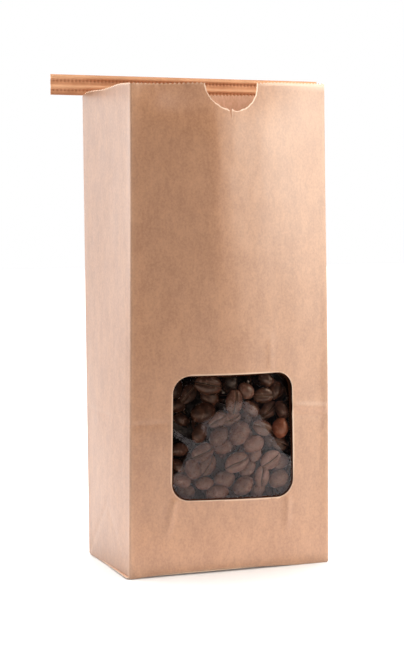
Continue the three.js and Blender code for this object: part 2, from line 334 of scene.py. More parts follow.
# Shader maths
class Channel:
    """One shader socket. Arithmetic on it adds Math nodes, and node() adds any other node to its tree."""

    def __init__(self, tree, socket=None):
        self.tree = tree
        self.socket = socket

    def node(self, kind, settings=None, sockets=None, output=0):
        made = self.tree.nodes.new(kind)
        for name, value in (settings or {}).items():
            setattr(made, name, value)
        for name, value in (sockets or {}).items():
            if isinstance(value, Channel):
                self.tree.links.new(value.socket, made.inputs[name])
            else:
                made.inputs[name].default_value = value
        return Channel(self.tree, made.outputs[output])

    def maths(self, operation, first, second):
        return self.node("ShaderNodeMath", {"operation": operation}, {0: first, 1: second})

    def __add__(self, other):
        return self.maths("ADD", self, other)

    __radd__ = __add__

    def __mul__(self, other):
        return self.maths("MULTIPLY", self, other)

    __rmul__ = __mul__

    def __sub__(self, other):
        return self.maths("SUBTRACT", self, other)

    def __rsub__(self, other):
        return self.maths("SUBTRACT", other, self)

    def between(self, low, high):
        """0 at low, 1 at high, and smooth on the way."""
        return self.node(
            "ShaderNodeMapRange",
            {"interpolation_type": "SMOOTHSTEP"},
            {"Value": self, "From Min": low, "From Max": high},
        )

    def mixed(self, first, second):
        """A colour that goes from first to second as this channel goes from 0 to 1."""
        first, second = [end if isinstance(end, Channel) else (*end, 1) for end in (first, second)]
        return self.node("ShaderNodeMix", {"data_type": "RGBA"}, {0: self, 6: first, 7: second}, output=2)

    def speckle(self, scale, detail, rough, stretch=None, shift=(0, 0, 0)):
        """Noise on the piece's own coordinates, stretched where asked."""
        place = self.node("ShaderNodeTexCoord", output="Object")
        if stretch:
            place = self.node("ShaderNodeMapping", None, {0: place, "Location": shift, "Scale": stretch})
        sockets = {"Vector": place, "Scale": scale, "Detail": detail, "Roughness": rough}
        return self.node("ShaderNodeTexNoise", None, sockets)

    def attribute(self, name):
        return self.node("ShaderNodeAttribute", {"attribute_name": name}, output="Fac")

    def bump(self, height, strength, distance):
        return self.node(
            "ShaderNodeBump", None, {"Height": height, "Strength": strength, "Distance": distance}
        )


def new_finish(name):
    """An empty material, its tree as a Channel, and its output node."""
    material = bpy.data.materials.new(name)
    material.use_nodes = True
    material.node_tree.nodes.clear()
    output = material.node_tree.nodes.new("ShaderNodeOutputMaterial")
    return material, Channel(material.node_tree), output


def principled_finish(name, build, constants):
    """A material whose build function gives the linked sockets, and whose other values are constants."""
    material, tree, output = new_finish(name)
    shader = tree.node("ShaderNodeBsdfPrincipled", None, {**constants, **build(tree)})
    material.node_tree.links.new(shader.socket, output.inputs["Surface"])
    return material


# Colours, with tones given from dark to light
KRAFT_TONES = ((0.295, 0.123, 0.051), (0.425, 0.2, 0.092))
KRAFT_SPECK = (0.25, 0.10, 0.045)
# Pale worn paper, also painted as a highlight on the notch's edge and the rim's teeth
KRAFT_WORN_AND_HIGHLIGHT = (0.72, 0.50, 0.35)
# Painted light: the inside of the paper is paler and warmer, standing in for light shining through it
INSIDE_PAINTED_GLOW_TONES = ((0.64, 0.37, 0.24), (0.74, 0.45, 0.31))
EDGE_TONES = ((0.72, 0.50, 0.34), (0.93, 0.76, 0.60))
COPPER_TONES = ((0.54, 0.23, 0.108), (0.64, 0.295, 0.15))
# Painted highlight for the tops of the tie's wires
COPPER_PAINTED_HIGHLIGHT = (0.86, 0.50, 0.29)
# Painted shade in the tie's crimps and along its lower edge
COPPER_PAINTED_SHADE = (0.24, 0.075, 0.028)
# Painted shade, nearly black, for beans deep in the heap
BEAN_PAINTED_SHADE = (0.007, 0.0025, 0.0012)
BEAN_DARK_TONES = ((0.029, 0.0095, 0.0045), (0.064, 0.0215, 0.0098))
# Paler, greyish tones, reached partly through the painted light on the lower beans
BEAN_GREYISH_TONES = ((0.12, 0.054, 0.036), (0.20, 0.09, 0.061))
BEAN_PALE_TONES = ((0.19, 0.054, 0.024), (0.28, 0.084, 0.038))
CHAFF_DUST = (0.16, 0.085, 0.05)
# Painted shade deep in a bean's crease
SEAM_PAINTED_SHADE = (0.012, 0.007, 0.005)
# Painted shadow for the ring round the inside of the window
GAP_SHADE_TONES = ((0.022, 0.006, 0.003), (0.05, 0.016, 0.008))
FLOOR_TONES = ((0.86, 0.86, 0.86), (0.88, 0.88, 0.88))
FLAG_TONES = ((0.004, 0.004, 0.004), (0.008, 0.008, 0.008))
FILM_TINT = (1, 0.88, 0.9, 1)
FILM_IOR = 1.27


def kraft_paper(tree):
    streaks = tree.speckle(420, 3, 0.6, (1, 1, 0.4))
    fibres = tree.speckle(1000, 2, 0.6, (1, 1, 0.85), (3, 1, 2))
    clouds = tree.speckle(110, 3, 0.6, (1, 1, 0.6))
    specks = tree.speckle(1500, 1, 0.4, (1, 1, 0.5), (7, 5, 1)).between(0.70, 0.78)
    tone = 0.25 * streaks + 0.42 * fibres + 0.33 * clouds
    colour = tone.between(0.32, 0.68).mixed(*KRAFT_TONES)
    colour = (0.35 * specks).mixed(colour, KRAFT_SPECK)
    # Pale where worn, and painted with a highlight at the notch and the rim
    colour = tree.attribute("wear_and_painted_highlight").mixed(colour, KRAFT_WORN_AND_HIGHLIGHT)
    relief = 0.6 * streaks + 0.4 * fibres
    return {
        "Base Color": colour,
        "Roughness": 0.39 + 0.08 * tone,
        "Normal": tree.bump(relief, 0.2, 0.00015),
    }


# The paper's inner face, painted paler as light that shines through the paper
def kraft_inside_painted_glow(tree):
    fibres = tree.speckle(900, 3, 0.6, (1, 1, 0.5))
    colour = fibres.between(0.3, 0.7).mixed(*INSIDE_PAINTED_GLOW_TONES)
    return {"Base Color": colour, "Roughness": 0.75 + 0.1 * fibres}


def cut_edge(tree):
    fibres = tree.speckle(2200, 2, 0.6)
    colour = fibres.mixed(*EDGE_TONES)
    return {"Base Color": colour, "Roughness": 0.9 - 0.1 * fibres}


def copper_tie(tree):
    brushed = tree.speckle(1400, 2, 0.6, (0.08, 1, 1))
    clouds = tree.speckle(120, 2, 0.5)
    crimp_and_hem_painted_shade = tree.attribute("crimp_and_hem_painted_shade")
    colour = clouds.between(0.3, 0.7).mixed(*COPPER_TONES)
    # The tops of the wires are painted lighter, as a highlight
    colour = (0.55 * tree.attribute("wire_painted_highlight")).mixed(colour, COPPER_PAINTED_HIGHLIGHT)
    # The crimps and the lower edge are painted dark, as shade
    colour = (0.8 * crimp_and_hem_painted_shade).mixed(colour, COPPER_PAINTED_SHADE)
    return {
        "Base Color": colour,
        "Roughness": 0.30 + 0.15 * brushed,
        "Normal": tree.bump(brushed, 0.15, 0.0002),
    }


def roasted_bean(tree):
    # The tone holds each bean's roast, and also painted shade for deep beans and painted light for the
    # lower ones
    roast_and_painted_light = tree.attribute("roast_and_painted_light")
    chaff_and_seam_shade = tree.attribute("chaff_and_seam_shade")
    mottle = tree.speckle(420, 4, 0.6)
    wrinkles = tree.speckle(900, 3, 0.55)
    patches = mottle.between(0.3, 0.7)
    colour = roast_and_painted_light.between(0, 0.2).mixed(BEAN_PAINTED_SHADE, patches.mixed(*BEAN_DARK_TONES))
    colour = roast_and_painted_light.between(0.2, 0.7).mixed(colour, patches.mixed(*BEAN_GREYISH_TONES))
    colour = roast_and_painted_light.between(0.7, 0.95).mixed(colour, patches.mixed(*BEAN_PALE_TONES))
    colour = (0.6 * chaff_and_seam_shade.between(0.1, 0.5)).mixed(colour, CHAFF_DUST)
    # The middle of the crease is painted dark, as shade, and its edges pale with chaff
    colour = chaff_and_seam_shade.between(0.55, 0.9).mixed(colour, SEAM_PAINTED_SHADE)
    return {
        "Base Color": colour,
        "Roughness": 0.20 + 0.12 * mottle,
        "Normal": tree.bump(wrinkles, 0.3, 0.0004),
    }


# The ring round the window is painted dark, as the shadow in the gap under the paper
def film_gap_painted_shade(tree):
    shade_mottle = tree.speckle(500, 2, 0.5)
    colour = shade_mottle.mixed(*GAP_SHADE_TONES)
    return {"Base Color": colour, "Roughness": 0.5 + 0.2 * shade_mottle}


def pale_floor(tree):
    grain = tree.speckle(300, 2, 0.5)
    colour = grain.mixed(*FLOOR_TONES)
    return {"Base Color": colour, "Roughness": 0.4 + 0.1 * grain}


def dark_flag(tree):
    weave = tree.speckle(200, 1, 0.5)
    colour = weave.mixed(*FLAG_TONES)
    return {"Base Color": colour, "Roughness": 0.9 + 0.1 * weave}


def clear_film():
    """Clear glossy film: it lets light straight through, and mirrors by Fresnel."""
    material, tree, output = new_finish("clear_film")
    smears = tree.speckle(90, 3, 0.6)
    mirror = tree.node("ShaderNodeFresnel", None, {"IOR": FILM_IOR})
    sheen = {"Color": FILM_TINT, "Roughness": 0.02 + 0.03 * smears}
    gloss = tree.node("ShaderNodeBsdfGlossy", None, sheen)
    clear = tree.node("ShaderNodeBsdfTransparent")
    shader = tree.node("ShaderNodeMixShader", None, {0: mirror, 1: clear, 2: gloss})
    material.node_tree.links.new(shader.socket, output.inputs["Surface"])
    return material


KRAFT = principled_finish("kraft_paper", kraft_paper, {"IOR": 1.6, "Specular IOR Level": 1.0})
KRAFT_INSIDE_PAINTED_GLOW = principled_finish("kraft_inside_painted_glow", kraft_inside_painted_glow, {"Specular IOR Level": 0.2})
CUT_EDGE = principled_finish("kraft_cut_edge", cut_edge, {})
COPPER = principled_finish("copper_tie", copper_tie, {"Metallic": 0.35})
ROAST_SHINE = {"Specular IOR Level": 0.45, "Specular Tint": (1, 0.75, 0.6, 1)}
ROAST = principled_finish("roasted_beans", roasted_bean, ROAST_SHINE)
GAP_PAINTED_SHADE = principled_finish("film_gap_painted_shade", film_gap_painted_shade, {"Specular IOR Level": 0.0})
FLOOR_FINISH = principled_finish(
    "pale_floor", pale_floor, {"Emission Color": (1, 1, 1, 1), "Emission Strength": 0.08}
)
FLAG_FINISH = principled_finish("dark_flag", dark_flag, {})
CLEAR = clear_film()


# Pieces
def new_piece(name, bm, finishes):
    """Turns a bmesh in millimetres into an object in metres, at the origin, with smooth faces."""
    bm.transform(Matrix.Scale(MM, 4))
    for face in bm.faces:
        face.smooth = True
    mesh = bpy.data.meshes.new(name)
    bm.to_mesh(mesh)
    bm.free()
    for finish in finishes:
        mesh.materials.append(finish)
    piece = bpy.data.objects.new(name, mesh)
    bpy.context.collection.objects.link(piece)
    return piece


def on_bag(piece, node):
    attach(piece, "root")
    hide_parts(node)


def thickened(piece, thickness, rim_finish=0, inner_finish=0):
    """Gives a sheet its thickness, inwards, and keeps its cut edges crisp."""
    shell = piece.modifiers.new("thickness", "SOLIDIFY")
    shell.thickness = thickness * MM
    shell.offset = -1
    shell.use_even_offset = False
    shell.material_offset_rim = rim_finish
    shell.material_offset = inner_finish
    graph = bpy.context.evaluated_depsgraph_get()
    mesh = bpy.data.meshes.new_from_object(piece.evaluated_get(graph))
    mesh.name = piece.name
    piece.modifiers.clear()
    piece.data = mesh
    mesh.set_sharp_from_angle(angle=math.radians(SHARP_FROM))


def face_front(bm):
    """Turns a sheet so that its frontmost face looks to the front."""
    bmesh.ops.recalc_face_normals(bm, faces=bm.faces)
    frontmost = min(bm.faces, key=lambda face: face.calc_center_median().y)
    if frontmost.normal.y > 0:
        bmesh.ops.reverse_faces(bm, faces=bm.faces)


def flat_grid(bm, columns, rows):
    """A new flat grid, with each corner's place counted in columns and rows."""
    made = bmesh.ops.create_grid(bm, x_segments=columns, y_segments=rows, size=1)["verts"]
    places = {}
    for corner in made:
        column = round((corner.co.x + 1) / 2 * columns)
        row = round((corner.co.y + 1) / 2 * rows)
        places[corner] = (column, row)
    return places


def score(bm, outline):
    """Cuts a flat sheet in the x-z plane along a convex outline, which runs counter-clockwise.

    The faces inside it are returned.
    """
    low_x, high_x = min(x for x, z in outline), max(x for x, z in outline)
    low_z, high_z = min(z for x, z in outline), max(z for x, z in outline)

    def near(face):
        xs = [corner.co.x for corner in face.verts]
        zs = [corner.co.z for corner in face.verts]
        return max(xs) > low_x and min(xs) < high_x and max(zs) > low_z and min(zs) < high_z

    inside = [face for face in bm.faces if near(face)]
    for (x, z), (next_x, next_z) in zip(outline, outline[1:] + outline[:1]):
        start = Vector((x, 0, z))
        outwards = Vector((next_z - z, 0, x - next_x)).normalized()
        edges = dict.fromkeys(edge for face in inside for edge in face.edges)
        corners = dict.fromkeys(corner for face in inside for corner in face.verts)
        cut = bmesh.ops.bisect_plane(
            bm, geom=[*inside, *edges, *corners], dist=1e-5, plane_co=start, plane_no=outwards
        )
        faces = [part for part in cut["geom"] if isinstance(part, bmesh.types.BMFace)]
        inside = [face for face in faces if (face.calc_center_median() - start).dot(outwards) < 0]
    return inside


def cut_away(bm, outline):
    bmesh.ops.delete(bm, geom=score(bm, outline), context="FACES")


def arc(x, z, radius, from_degrees, to_degrees, steps):
    turns = [math.radians(lerp(from_degrees, to_degrees, i / steps)) for i in range(steps + 1)]
    return [(x + radius * math.cos(turn), z + radius * math.sin(turn)) for turn in turns]


def window_outline(grow=0):
    x, z = WINDOW_MIDDLE
    radius = WINDOW_CORNER + grow
    across = WINDOW_WIDTH / 2 - WINDOW_CORNER
    up = WINDOW_HEIGHT / 2 - WINDOW_CORNER
    corners = [(1, -1, -90), (1, 1, 0), (-1, 1, 90), (-1, -1, 180)]
    outline = []
    for right, top, turn in corners:
        sag = WINDOW_SKEW if right > 0 > top else 0
        middle = (x + right * across + sag, z + top * up - sag)
        outline += arc(*middle, radius, turn, turn + 90, CORNER_STEPS)
    return outline


def notch_outline(grow=0):
    rim = rim_height(NOTCH_X, -HALF_DEPTH)
    radius = NOTCH_RADIUS + grow
    ends = [(NOTCH_X + radius, rim + 3), (NOTCH_X - radius, rim + 3)]
    return arc(NOTCH_X, rim, radius, -180, 0, NOTCH_STEPS) + ends


# The paper sheet is unrolled: -1 to 1 is the front, 1 to 2 a gusset, 2 to 3 half of the back, then the lap
def sheet_columns():
    panels = [
        (-3, -2, BACK_COLUMNS),
        (-2, -1, GUSSET_COLUMNS),
        (-1, 1, FRONT_COLUMNS),
        (1, 2, GUSSET_COLUMNS),
        (2, 3, BACK_COLUMNS),
        (3, 3 + LAP_COLUMNS / BACK_COLUMNS, LAP_COLUMNS),
    ]
    places = [lerp(low, high, i / steps) for low, high, steps in panels for i in range(steps)]
    return places + [panels[-1][1]]


def sheet_rows():
    heights = [0.0]
    while heights[-1] < RIM_HEIGHT - 4:
        z = heights[-1]
        close = z < 3 or abs(z - CREASE_ROWS_AT) < 5
        heights.append(z + (FOOT_ROW if z < 1.5 else CREASE_ROW if close else WIDE_ROW))
    return heights + [RIM_HEIGHT - RIM_ROW, RIM_HEIGHT]


def unrolled_x(place, z):
    reach = abs(place)
    flat = min(reach, 1) * front_half_width(z)
    flat += clamp(reach - 1, 0, 1) * BAG_DEPTH + max(reach - 2, 0) * BACK_WIDTH / 2
    return math.copysign(flat, place)


def place_on_sheet(x, z):
    half = front_half_width(z)
    beyond = abs(x) - half
    if beyond <= 0:
        return x / half
    reach = 1 + beyond / BAG_DEPTH
    if reach > 2:
        reach = 2 + (beyond - BAG_DEPTH) / (BACK_WIDTH / 2)
    return math.copysign(reach, x)


def folded(place, z):
    """Where a place on the unrolled sheet lies on the folded bag."""
    reach = abs(place)
    hand = math.copysign(1, place)
    half = front_half_width(z)
    sway = front_sway(z)
    if reach <= 1:
        return Vector((place * half + sway, front_y(place * half, z), z))
    if reach <= 2:
        t = reach - 1
        dent = gusset_dent(z) * math.sin(math.pi * t)
        x = lerp(hand * half + sway, back_x(hand, z), t) - hand * dent
        return Vector((x, lerp(-HALF_DEPTH, HALF_DEPTH, t), z))
    across = hand * (3 - reach)
    lift = LAP_LIFT * ease(*LAP_RISE, place)
    return Vector((back_x(across, z), back_y(across, z) + lift, z))


def outwards_at(place):
    reach = abs(place)
    hand = math.copysign(1, place)
    near = 1e-4
    x = hand if 1 - near <= reach <= 2 + near else 0
    y = -1 if reach <= 1 + near else 1 if reach >= 2 - near else 0
    return Vector((x, y, 0))


def to_segment(point, start, end):
    """Distance from a point to a straight stretch, all in two dimensions."""
    point, start, end = Vector(point), Vector(start), Vector(end)
    line = end - start
    t = clamp((point - start).dot(line) / line.length_squared, 0, 1)
    return (point - start - line * t).length


def from_upright_fold(reach, front, gusset):
    """Distance from the nearest upright fold, with the widths that the panels are taken to have."""
    return min(abs(reach - 1) * (front if reach < 1 else gusset), abs(reach - 2) * BACK_SPAN)


def from_base_fold(reach, z):
    """Distance from the slanting folds that the base leaves on a gusset."""
    y = (reach - 1.5) * BAG_DEPTH
    return to_segment((abs(y), z), (HALF_DEPTH, 0), (0, HALF_DEPTH))


def paper_relief(place, x, z):
    """How far the paper stands out of its panel: waves, creases, folds, and the curl of the rim."""
    reach = abs(place)
    from_corner = from_upright_fold(reach, *RELIEF_SPANS)
    waves = 0.0
    for tall, across, up, layer in PAPER_WAVES:
        waves += tall * noise.noise(Vector((x / across, z / up, layer)))
    height = waves * ease(0, 6, from_corner) * ease(0, 8, z)
    if reach < 1:
        for start, end, half_width, tall in CREASES:
            height += tall * bell(to_segment((x, z), start, end), half_width)
        height -= fold_lip(z) * ease(0, 5, from_corner) * (1 - ease(5, 20, from_corner))
        start, top, end = SOFT_FOLD_ACROSS
        foot, full, fade, head = SOFT_FOLD_UP
        upright = ease(foot, full, z) * (1 - ease(fade, head, z))
        height += SOFT_FOLD * ease(start, top, x) * (1 - ease(top, end, x)) * upright
        height -= RIM_CURL * ease(224, RIM_HEIGHT, z) * ease(0.3, 0.7, -place) * ease(0, 16, from_corner)
    elif reach < 2:
        height -= BASE_FOLD * bell(from_base_fold(reach, z), 1.1) * ease(0, 2, from_corner)
        slope = GUSSET_CREASE_SLOPE * ((reach - 1.5) * BAG_DEPTH)
        height -= GUSSET_CREASE * bell(abs(z - GUSSET_CREASE_HEIGHT - slope), 1.0) * ease(0, 2, from_corner)
    return height


def paper_wear_and_highlight(place, z):
    """How pale the paper is, from 0 to 1: worn along folds, the foot and the lap's end, and at the rim worn
    and painted with a highlight.
    """
    reach = abs(place)
    wear_and_painted_highlight = 0.0
    if 1 < reach < 2:
        wear_and_painted_highlight = BASE_FOLD_WEAR * bell(from_base_fold(reach, z), 0.9)
    from_corner = from_upright_fold(reach, *WEAR_SPANS)
    wear_and_painted_highlight = max(wear_and_painted_highlight, CORNER_WEAR * (1 - ease(0, 2.5, from_corner)))
    wear_and_painted_highlight = max(wear_and_painted_highlight, FOOT_WEAR * (1 - ease(0, 1.5, z)))
    from_lap_end = (3 + LAP_COLUMNS / BACK_COLUMNS - place) * BACK_WIDTH / 2
    wear_and_painted_highlight = max(wear_and_painted_highlight, LAP_WEAR * (1 - ease(0, 1.3, from_lap_end)))
    return max(wear_and_painted_highlight, RIM_WEAR_AND_HIGHLIGHT * ease(RIM_HEIGHT - 1.2, RIM_HEIGHT - 0.2, z))


def from_notch(x, z):
    """Distance from the notch's edge, below the rim."""
    return math.hypot(x - NOTCH_X, z - rim_height(NOTCH_X, -HALF_DEPTH)) - NOTCH_RADIUS


def rim_wave(place):
    """How far the rim rises and falls along the gussets, at the back corners and on the front's right."""
    reach = abs(place)
    wave = sum(tall * bell(reach - middle, spread) for middle, spread, tall in RIM_BUMPS)
    return wave + RIM_LIFT * ease(0.15, 0.45, place) * (1 - ease(1, 1.6, place))


def ragged(x, z):
    """A place on the notch's cut edge, moved a little in or out as if torn by hand."""
    rim = rim_height(NOTCH_X, -HALF_DEPTH)
    away = Vector((x - NOTCH_X, z - rim))
    tuft = TUFT * bell(x - TUFT_X, TUFT_SPREAD)
    wobble = NOTCH_WOBBLE * noise.noise(Vector((x / 1.6, z / 1.6, 2.2)))
    spot = Vector((NOTCH_X, rim)) + away.normalized() * (away.length + wobble - tuft)
    return spot.x, spot.y


def fold_paper():
    bm = bmesh.new()
    wear_and_painted_highlight = bm.verts.layers.float.new("wear_and_painted_highlight")
    columns = sheet_columns()
    rows = sheet_rows()
    grid = flat_grid(bm, len(columns) - 1, len(rows) - 1)
    for corner, (column, row) in grid.items():
        place = columns[column]
        z = rows[row]
        spot = folded(place, z)
        z += (rim_height(spot.x, spot.y) + rim_wave(place) - RIM_HEIGHT) * ease(150, RIM_HEIGHT, z)
        if row == len(rows) - 1 and column % 2:
            z -= TOOTH_DEPTH
        corner.co = Vector((unrolled_x(place, z), 0, z))
    for grow in reversed(PALE_NOTCH):
        score(bm, notch_outline(grow))
    cut_away(bm, notch_outline())
    cut_away(bm, TEAR)
    score(bm, window_outline(PALE_WINDOW[1]))
    cut_edge_band = score(bm, window_outline(PALE_WINDOW[0]))
    pale = {corner for face in cut_edge_band for corner in face.verts}
    cut_away(bm, window_outline())

    folds = {}
    for corner in bm.verts:
        x, _, z = corner.co
        at_notch = z > NOTCH_FROM and from_notch(x, z) < PALE_NOTCH[0] + 0.2
        if at_notch and z < RIM_HEIGHT - 1.5:
            x, z = ragged(x, z)
        place = place_on_sheet(x, z)
        outwards = outwards_at(place)
        rounding = BASE_ROUND - math.sqrt(max(BASE_ROUND ** 2 - max(BASE_ROUND - z, 0) ** 2, 0))
        spot = folded(place, z)
        if abs(place) < 1:
            lift = FOOT_LIFT * (1 - place ** 4) * (1 - ease(0, FOOT_LIFT_END, place))
            spot.z += lift * (1 - ease(0, FOOT_LIFT_FADE, z))
        corner[wear_and_painted_highlight] = paper_wear_and_highlight(place, z)
        at_window = corner in pale or corner.is_boundary and abs(place) < 1 and 2 < z < NOTCH_FROM
        # The notch's pale ring is partly a painted highlight
        if at_window or at_notch:
            corner[wear_and_painted_highlight] = WINDOW_WEAR if at_window else NOTCH_WEAR_AND_HIGHLIGHT
        on_fold = outwards.length > 1.2
        out = 0 if on_fold else paper_relief(place, x, z)
        corner.co = spot + outwards * (out - rounding)
        if on_fold:
            folds[corner] = round(place)
    bm.normal_update()
    corners = [
        edge for edge in bm.edges
        if edge.verts[0] in folds and folds[edge.verts[0]] == folds.get(edge.verts[1])
    ]
    bmesh.ops.bevel(
        bm, geom=corners, offset=FOLD_RADIUS, segments=3, profile=0.5, affect="EDGES", material=-1
    )
    face_front(bm)
    add_base(bm)
    paper = new_piece("folded_paper", bm, [KRAFT, CUT_EDGE, KRAFT_INSIDE_PAINTED_GLOW])
    thickened(paper, PAPER, rim_finish=1, inner_finish=2)
    on_bag(paper, "paper_bag")


def add_base(bm):
    """The base sheet and the two mitred flaps glued under it."""
    columns, rows = BASE_STEPS
    for corner, (column, row) in flat_grid(bm, columns, rows).items():
        x = (2 * column / columns - 1) * (BACK_WIDTH / 2 - BASE_INSET)
        y = lerp(front_y(x, 0) + BASE_INSET, HALF_DEPTH - BASE_INSET, row / rows)
        corner.co = Vector((x, y, BASE_HEIGHT))
    columns, rows = FLAP_STEPS
    for hand, height in FLAPS:
        for corner, (column, row) in flat_grid(bm, columns, rows).items():
            across = 2 * column / columns - 1
            depth = row / rows
            half = BACK_WIDTH / 2 - 1.6 - FLAP_MITRE * depth
            corner.co = Vector((across * half, hand * (HALF_DEPTH - 1 - FLAP_DEPTH * depth), height))
    low = [face for face in bm.faces if all(corner.co.z < 1 for corner in face.verts)]
    for face in low:
        face.normal_update()
        if abs(face.normal.z) > 0.9 and face.normal.z > 0:
            face.normal_flip()


# Window film
film_crease = along(FILM_CREASE)


def film_dip(x, z):
    """How far the film lies behind the paper: it lies flat below its crease and leans back above it."""
    above = (z - film_crease(x) - CREASE_WOBBLE * noise.noise(Vector((x / 6, z / 9, 3.3)))) / FILM_FOLD
    lean = FILM_TILT * FILM_FOLD * (max(above, 0) + math.log1p(math.exp(-abs(above))))
    wrinkle = WRINKLE_HEIGHT * bell(to_segment((x, z), *FILM_WRINKLE), WRINKLE_SPREAD)
    return lean - wrinkle + FILM_GAP


def film_y(x, z):
    """The film's place. Its margin, glued behind the paper, lies a little deeper."""
    beyond_x = abs(x - WINDOW_MIDDLE[0]) - WINDOW_WIDTH / 2
    beyond_z = abs(z - WINDOW_MIDDLE[1]) - WINDOW_HEIGHT / 2
    margin = MARGIN_DEPTH * ease(1, 5, max(beyond_x, beyond_z))
    return front_y(x, z) + PAPER + film_dip(x, z) + margin


def stretch_film():
    bm = bmesh.new()
    grid = flat_grid(bm, FILM_STEPS, FILM_STEPS)
    middle_x, middle_z = WINDOW_MIDDLE
    for corner, (column, row) in grid.items():
        x = middle_x + (WINDOW_WIDTH / 2 + FILM_LAP) * (2 * column / FILM_STEPS - 1)
        z = middle_z + (WINDOW_HEIGHT / 2 + FILM_LAP) * (2 * row / FILM_STEPS - 1)
        corner.co = Vector((x, 0, z))
    # A ring round the window's edge is painted with the shadow of the gap
    clear = set(score(bm, window_outline(-GAP_SHADE_RIM)))
    for face in bm.faces:
        face.material_index = 0 if face in clear else 1
    for corner in bm.verts:
        x, _, z = corner.co
        corner.co = Vector((x + front_sway(z), film_y(x, z), z))
    face_front(bm)
    film = new_piece("clear_window_film", bm, [CLEAR, GAP_PAINTED_SHADE])
    thickened(film, FILM)
    on_bag(film, "window_film")


# Tie
def press_tie():
    """A flat strip over two wires, crimped in rows of small teeth."""
    bm = bmesh.new()
    crimp_and_hem_painted_shade = bm.verts.layers.float.new("crimp_and_hem_painted_shade")
    wire_painted_highlight = bm.verts.layers.float.new("wire_painted_highlight")
    columns = int(TIE_LENGTH * 2)
    for corner, (column, row) in flat_grid(bm, columns, TIE_ROWS).items():
        x = TIE_X + TIE_LENGTH * (column / columns - 0.5)
        down = 1 - row / TIE_ROWS
        bumps = [WIRE_BUMP * bell(down - place, width) for place, width in TIE_WIRES]
        tooth = 0.5 + 0.5 * math.cos(2 * math.pi * x / TOOTH_PITCH)
        crimps = [bell(down - place, width) for place, width in TIE_CRIMPS]
        # How much painted shade each crimp and the lower edge get
        pressed = max(crimps) * lerp(CRIMP_LEAST, 1, ease(0.3, 0.8, tooth))
        corner[crimp_and_hem_painted_shade] = max(pressed, HEM_SHADE * ease(0.8, 0.95, down))
        # Where the wires bulge, the tie is painted with a highlight
        corner[wire_painted_highlight] = max(bumps) / WIRE_BUMP
        y = HALF_DEPTH + TIE_GAP - sum(bumps) + CRIMP_DEPTH * max(crimps) * lerp(CRIMP_LEAST, 1, tooth)
        corner.co = Vector((x, y, TIE_BOTTOM + TIE_HEIGHT * (1 - down)))
    face_front(bm)
    tie = new_piece("copper_tie", bm, [COPPER])
    thickened(tie, TIE_THICKNESS)
    on_bag(tie, "tin_tie")


# Beans
def bean_form(creased):
    """One bean, 2 long along x: a rounded back up, and a flatter face with its crease below."""
    bm = bmesh.new()
    chaff_and_seam_shade = bm.verts.layers.float.new("chaff_and_seam_shade")
    bmesh.ops.create_uvsphere(bm, u_segments=12, v_segments=7, radius=1)
    bmesh.ops.rotate(bm, verts=bm.verts, cent=(0, 0, 0), matrix=Matrix.Rotation(math.pi / 2, 3, "Y"))
    for corner in bm.verts:
        if corner.co.z < 0:
            corner.co.z *= BEAN_FACE
    if creased:
        seam = [
            edge for edge in bm.edges
            if all(abs(corner.co.y) < 1e-3 and corner.co.z < -0.05 for corner in edge.verts)
        ]
        bmesh.ops.bevel(
            bm, geom=seam, offset=SEAM_WIDTH, segments=2, profile=0.5, affect="EDGES", material=-1
        )
        for corner in bm.verts:
            if abs(corner.co.y) < 0.05 and corner.co.z < -0.1:
                corner.co.z += SEAM_DEPTH
                corner.co.y += SEAM_SWAY * math.sin(3.4 * corner.co.x)
                corner[chaff_and_seam_shade] = 1
    mesh = bpy.data.meshes.new("bean_form")
    bm.to_mesh(mesh)
    bm.free()
    return mesh


def add_bean(bm, form, half_sizes, turn, spot, roast_and_painted_light):
    layer = bm.verts.layers.float["roast_and_painted_light"]
    before = len(bm.verts)
    bm.from_mesh(form)
    bm.verts.ensure_lookup_table()
    new = bm.verts[before:]
    shape = Matrix.Diagonal((*half_sizes, 1))
    bmesh.ops.transform(bm, matrix=Matrix.Translation(spot) @ turn.to_matrix().to_4x4() @ shape, verts=new)
    for corner in new:
        corner[layer] = roast_and_painted_light
        corner.co += noise.noise_vector(corner.co / 5 + spot) * BEAN_WRINKLE


def depth_behind(spot, radius, placed):
    """How far behind the surface a bean has to lie to clear the beans already there."""
    depth = 0.0
    for other, other_radius, other_depth in placed:
        reach = NEST_REACH * (radius + other_radius)
        gap = (spot - other).length
        if gap < reach:
            depth = max(depth, other_depth + NEST_DEPTH * math.sqrt(reach * reach - gap * gap))
    return depth


def new_heap():
    bm = bmesh.new()
    bm.verts.layers.float.new("roast_and_painted_light")
    bm.verts.layers.float.new("chaff_and_seam_shade")
    return bm


def finish_heap(bm, name, levels):
    heap = new_piece(name, bm, [ROAST])
    if levels:
        smooth = heap.modifiers.new("rounding", "SUBSURF")
        smooth.levels = levels
        smooth.render_levels = levels
    on_bag(heap, "coffee_beans")


def half_sizes_of(length, draws):
    width = length * draws.uniform(*BEAN_WIDTH_SHARE)
    return (length / 2, width / 2, length * BEAN_FLATNESS / 2)


def film_behind(x, z, reach):
    """How far back the film lies at its deepest, within reach of a bean."""
    return max(film_y(x + dx, z + dz) for dx in (-reach, 0, reach) for dz in (-reach, 0, reach))


